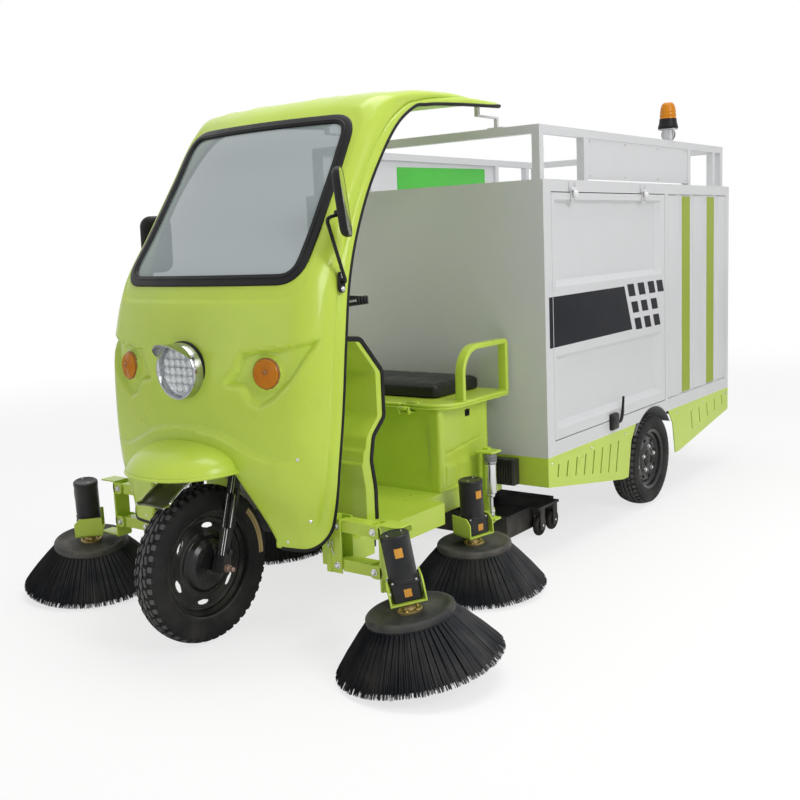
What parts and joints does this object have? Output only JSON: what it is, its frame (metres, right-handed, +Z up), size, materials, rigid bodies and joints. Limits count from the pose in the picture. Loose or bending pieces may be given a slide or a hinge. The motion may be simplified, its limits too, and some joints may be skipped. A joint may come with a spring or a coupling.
{
  "type": "ride-on leaf sweeper",
  "caption": "Three-wheeled ride-on sweeper with an open-sided cab, tilted disc brushes, a suction head and a closed load box for leaves.",
  "frame": {"origin": "on the ground, under the centre of the overall length and width", "axes": "+Z up, the machine faces -Y and its left side is +X"},
  "size_m": [2.3856, 4.156, 2.167],
  "materials": {
    "cab_green": "gloss",
    "box_white": "semi-gloss",
    "frame_black": "satin",
    "rim_black": "gloss",
    "tyre_rubber": "matte",
    "black_plastic": "matte",
    "bristle_black": "satin",
    "battery_case": "matte",
    "seat_cover": "satin",
    "clear_glass": "clear",
    "amber_lens": "gloss",
    "lamp_chrome": "mirror",
    "grey_metal": "satin"
  },
  "bodies": {
    "chassis": {"chassis_frame": "frame_black", "floor_deck": "cab_green", "cab_shell": "cab_green", "windscreen": "clear_glass", "headlight": "lamp_chrome", "turn_signals": "amber_lens", "nose_fairing": "cab_green", "leg_shield": "cab_green", "mirrors": "black_plastic", "seat_box": "cab_green", "battery_pack": "battery_case", "cargo_box": "box_white", "rear_side_panels": "box_white", "box_skirt": "cab_green", "wheel_arches": "grey_metal", "top_rail": "box_white", "sign_panels": "box_white", "beacon_post": "box_white", "beacon": "amber_lens", "rear_axle": "frame_black", "suction_hood": "frame_black", "brush_brackets": "cab_green", "mid_left_actuator": "grey_metal", "mid_right_actuator": "grey_metal"},
    "steering": {"front_fork": "frame_black", "handlebar": "black_plastic", "front_fender": "lamp_chrome"},
    "front_wheel": {"front_tyre": "tyre_rubber", "front_rim": "rim_black"},
    "rear_left_wheel": {"rear_left_tyre": "tyre_rubber", "rear_left_rim": "rim_black"},
    "rear_right_wheel": {"rear_right_tyre": "tyre_rubber", "rear_right_rim": "rim_black"},
    "left_door": {"left_side_door": "box_white"},
    "right_door": {"right_side_door": "box_white"},
    "tailgate": {"rear_door": "box_white"},
    "seat_lid": {"seat_plate": "cab_green", "seat_cushion": "seat_cover", "armrests": "cab_green"},
    "front_left_upper_arm": {"front_left_upper_arm": "cab_green"},
    "front_left_lower_arm": {"front_left_lower_arm": "cab_green"},
    "front_left_head": {"front_left_brush_head": "cab_green"},
    "front_left_brush": {"front_left_brush": "bristle_black"},
    "mid_left_carriage": {"mid_left_carriage": "cab_green", "mid_left_actuator_rod": "lamp_chrome"},
    "mid_left_brush": {"mid_left_brush": "bristle_black"},
    "front_right_upper_arm": {"front_right_upper_arm": "cab_green"},
    "front_right_lower_arm": {"front_right_lower_arm": "cab_green"},
    "front_right_head": {"front_right_brush_head": "cab_green"},
    "front_right_brush": {"front_right_brush": "bristle_black"},
    "mid_right_carriage": {"mid_right_carriage": "cab_green", "mid_right_actuator_rod": "lamp_chrome"},
    "mid_right_brush": {"mid_right_brush": "bristle_black"},
    "left_front_caster_wheel": {"left_front_caster": "tyre_rubber"},
    "left_rear_caster_wheel": {"left_rear_caster": "tyre_rubber"},
    "right_front_caster_wheel": {"right_front_caster": "tyre_rubber"},
    "right_rear_caster_wheel": {"right_rear_caster": "tyre_rubber"}
  },
  "joints": [
    {"name": "steer", "type": "hinge", "parent": "chassis", "child": "steering", "pos_m": [0, -1.74731, 0.29323], "axis": [0, 0.2924, 0.9563], "range_deg": [-35, 35]},
    {"name": "front_wheel_spin", "type": "hinge", "parent": "steering", "child": "front_wheel", "pos_m": [0, -1.776, 0.302], "axis": [1, 0, 0], "continuous": true},
    {"name": "rear_left_wheel_spin", "type": "hinge", "parent": "chassis", "child": "rear_left_wheel", "pos_m": [0.615, 0.873, 0.25], "axis": [1, 0, 0], "continuous": true},
    {"name": "rear_right_wheel_spin", "type": "hinge", "parent": "chassis", "child": "rear_right_wheel", "pos_m": [-0.615, 0.873, 0.25], "axis": [1, 0, 0], "continuous": true},
    {"name": "left_door_lift", "type": "hinge", "parent": "chassis", "child": "left_door", "pos_m": [0.695, 0.365, 1.684], "axis": [0, -1, 0], "range_deg": [0, 85]},
    {"name": "right_door_lift", "type": "hinge", "parent": "chassis", "child": "right_door", "pos_m": [-0.695, 0.365, 1.684], "axis": [0, 1, 0], "range_deg": [0, 85]},
    {"name": "rear_door_lift", "type": "hinge", "parent": "chassis", "child": "tailgate", "pos_m": [0, 2.062, 1.692], "axis": [1, 0, 0], "range_deg": [0, 85]},
    {"name": "seat_lift", "type": "hinge", "parent": "chassis", "child": "seat_lid", "pos_m": [0, -0.859, 0.775], "axis": [1, 0, 0], "range_deg": [0, 80]},
    {"name": "front_left_brush_lift", "type": "hinge", "parent": "chassis", "child": "front_left_upper_arm", "pos_m": [0.53, -1.57, 0.476], "axis": [0, -1, 0], "range_deg": [0, 30]},
    {"name": "front_left_lower_link", "type": "hinge", "parent": "chassis", "child": "front_left_lower_arm", "pos_m": [0.53, -1.57, 0.33], "axis": [0, -1, 0], "range_deg": [-1, 31]},
    {"name": "front_left_head_pivot", "type": "hinge", "parent": "front_left_upper_arm", "child": "front_left_head", "pos_m": [0.698, -1.57, 0.476], "axis": [0, -1, 0], "range_deg": [-31, 1]},
    {"name": "front_left_brush_spin", "type": "hinge", "parent": "front_left_head", "child": "front_left_brush", "pos_m": [0.895, -1.62, 0.05287], "axis": [-0.1212, -0.1038, 0.9872], "continuous": true},
    {"name": "mid_left_brush_lift", "type": "slide", "parent": "chassis", "child": "mid_left_carriage", "axis": [0, 0, 1], "range_m": [0, 0.06]},
    {"name": "mid_left_brush_spin", "type": "hinge", "parent": "mid_left_carriage", "child": "mid_left_brush", "pos_m": [0.585, -0.772, 0.0207], "axis": [0, -0.0523, 0.9986], "continuous": true},
    {"name": "front_right_brush_lift", "type": "hinge", "parent": "chassis", "child": "front_right_upper_arm", "pos_m": [-0.53, -1.57, 0.476], "axis": [0, 1, 0], "range_deg": [0, 30]},
    {"name": "front_right_lower_link", "type": "hinge", "parent": "chassis", "child": "front_right_lower_arm", "pos_m": [-0.53, -1.57, 0.33], "axis": [0, 1, 0], "range_deg": [-1, 31]},
    {"name": "front_right_head_pivot", "type": "hinge", "parent": "front_right_upper_arm", "child": "front_right_head", "pos_m": [-0.698, -1.57, 0.476], "axis": [0, 1, 0], "range_deg": [-31, 1]},
    {"name": "front_right_brush_spin", "type": "hinge", "parent": "front_right_head", "child": "front_right_brush", "pos_m": [-0.895, -1.62, 0.05287], "axis": [0.1212, -0.1038, 0.9872], "continuous": true},
    {"name": "mid_right_brush_lift", "type": "slide", "parent": "chassis", "child": "mid_right_carriage", "axis": [0, 0, 1], "range_m": [0, 0.06]},
    {"name": "mid_right_brush_spin", "type": "hinge", "parent": "mid_right_carriage", "child": "mid_right_brush", "pos_m": [-0.585, -0.772, 0.0207], "axis": [0, -0.0523, 0.9986], "continuous": true},
    {"name": "left_front_caster_spin", "type": "hinge", "parent": "chassis", "child": "left_front_caster_wheel", "pos_m": [0.44, 0.042, 0.054], "axis": [1, 0, 0], "continuous": true},
    {"name": "left_rear_caster_spin", "type": "hinge", "parent": "chassis", "child": "left_rear_caster_wheel", "pos_m": [0.44, 0.171, 0.054], "axis": [1, 0, 0], "continuous": true},
    {"name": "right_front_caster_spin", "type": "hinge", "parent": "chassis", "child": "right_front_caster_wheel", "pos_m": [-0.44, 0.042, 0.054], "axis": [1, 0, 0], "continuous": true},
    {"name": "right_rear_caster_spin", "type": "hinge", "parent": "chassis", "child": "right_rear_caster_wheel", "pos_m": [-0.44, 0.171, 0.054], "axis": [1, 0, 0], "continuous": true}
  ],
  "couplings": [
    {"joint": "front_left_lower_link", "follows": "front_left_brush_lift", "ratio": 1},
    {"joint": "front_left_head_pivot", "follows": "front_left_brush_lift", "ratio": -1},
    {"joint": "front_right_lower_link", "follows": "front_right_brush_lift", "ratio": 1},
    {"joint": "front_right_head_pivot", "follows": "front_right_brush_lift", "ratio": -1}
  ]
}
